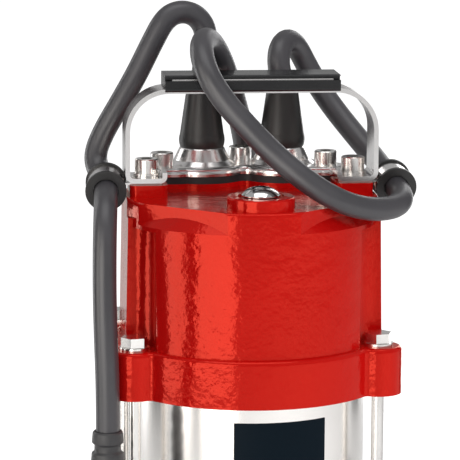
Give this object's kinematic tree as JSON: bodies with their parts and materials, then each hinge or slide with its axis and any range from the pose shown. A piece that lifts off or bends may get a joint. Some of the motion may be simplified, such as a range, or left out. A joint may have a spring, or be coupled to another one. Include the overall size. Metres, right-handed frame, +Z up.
{
  "type": "submersible dirty-water pump",
  "caption": "Submersible dirty-water pump with a cast head, steel motor tube, strap handle, hanging float switch, side hose outlet and slotted stand.",
  "frame": {"origin": "centre of the foot ring on the ground, on the motor axis", "axes": "+Z up along the motor axis, +X towards the hose outlet, +Y to the rear where the cable glands are; the float hangs at the front left"},
  "size_m": [0.2869, 0.4243, 0.5201],
  "materials": {
    "red_paint": "gloss cast",
    "dark_paint": "satin cast",
    "stainless": "bright rolled",
    "fastener_steel": "bright",
    "vent_chrome": "polished",
    "bearing_steel": "ground",
    "core_steel": "stacked sheet",
    "copper": "varnished wire",
    "bare_aluminium": "die cast",
    "rubber_seal": "matt",
    "boot_rubber": "matt",
    "cord_rubber": "matt",
    "seal_carbon": "lapped",
    "impeller_plastic": "moulded",
    "outlet_plastic": "moulded",
    "float_plastic": "moulded",
    "ball_steel": "polished",
    "label": "gloss film",
    "terminal_plastic": "moulded"
  },
  "bodies": {
    "pump": {"base_stand": "dark_paint", "bearing_outer_rings": "bearing_steel", "boot_float": "boot_rubber", "boot_mains": "boot_rubber", "bottom_screws": "fastener_steel", "capacitor": "bare_aluminium", "clip_bands": "stainless", "clip_linings": "boot_rubber", "float_cord_upper": "cord_rubber", "gland_gasket": "rubber_seal", "gland_plate": "stainless", "handle_grip": "boot_rubber", "handle_screws": "fastener_steel", "handle_strap": "stainless", "handle_washers": "fastener_steel", "head_cover": "red_paint", "hose_adapter": "outlet_plastic", "mains_cord": "cord_rubber", "mains_cord_coil": "cord_rubber", "mains_cord_tail": "cord_rubber", "motor_tube": "stainless", "oil_chamber": "dark_paint", "oil_plug": "fastener_steel", "outlet_elbow": "outlet_plastic", "outlet_gasket": "rubber_seal", "outlet_screws": "fastener_steel", "plate_screws": "fastener_steel", "plug_body": "cord_rubber", "plug_pins": "fastener_steel", "rating_label": "label", "seal_seat": "seal_carbon", "shaft_lip_seal": "rubber_seal", "stator_core": "core_steel", "stator_windings": "copper", "suction_plate": "dark_paint", "terminal_block": "terminal_plastic", "tie_bolts": "fastener_steel", "tie_washers": "fastener_steel", "tube_seal_lower": "rubber_seal", "tube_seal_upper": "rubber_seal", "upper_bracket": "bare_aluminium", "vent_plug": "vent_chrome", "vent_plug_seal": "rubber_seal", "volute_casing": "dark_paint"},
    "rotor": {"shaft": "bearing_steel", "rotor_core": "core_steel", "bearing_inner_rings": "bearing_steel", "bearing_balls": "bearing_steel", "seal_face": "seal_carbon", "seal_bellows": "rubber_seal", "impeller": "impeller_plastic", "impeller_nut": "fastener_steel", "cutter_blade": "stainless"},
    "float": {"float_cord_hanging": "cord_rubber", "float_strain_relief": "float_plastic", "float_shell_front": "float_plastic", "float_shell_back": "float_plastic", "float_microswitch": "float_plastic", "float_ball_tube": "float_plastic"},
    "tilt_ball": {"float_tilt_ball": "ball_steel"}
  },
  "joints": [
    {"name": "shaft_spin", "type": "hinge", "parent": "pump", "child": "rotor", "pos_m": [0, 0, 0.2], "axis": [0, 0, 1], "continuous": true},
    {"name": "float_swing", "type": "hinge", "parent": "pump", "child": "float", "pos_m": [-0.081, -0.011, 0.4195], "axis": [0.0687, 0.9824, 0.1736], "range_deg": [0, 110]},
    {"name": "ball_slide", "type": "slide", "parent": "float", "child": "tilt_ball", "axis": [0, 0, 1], "range_m": [0, 0.025]}
  ]
}
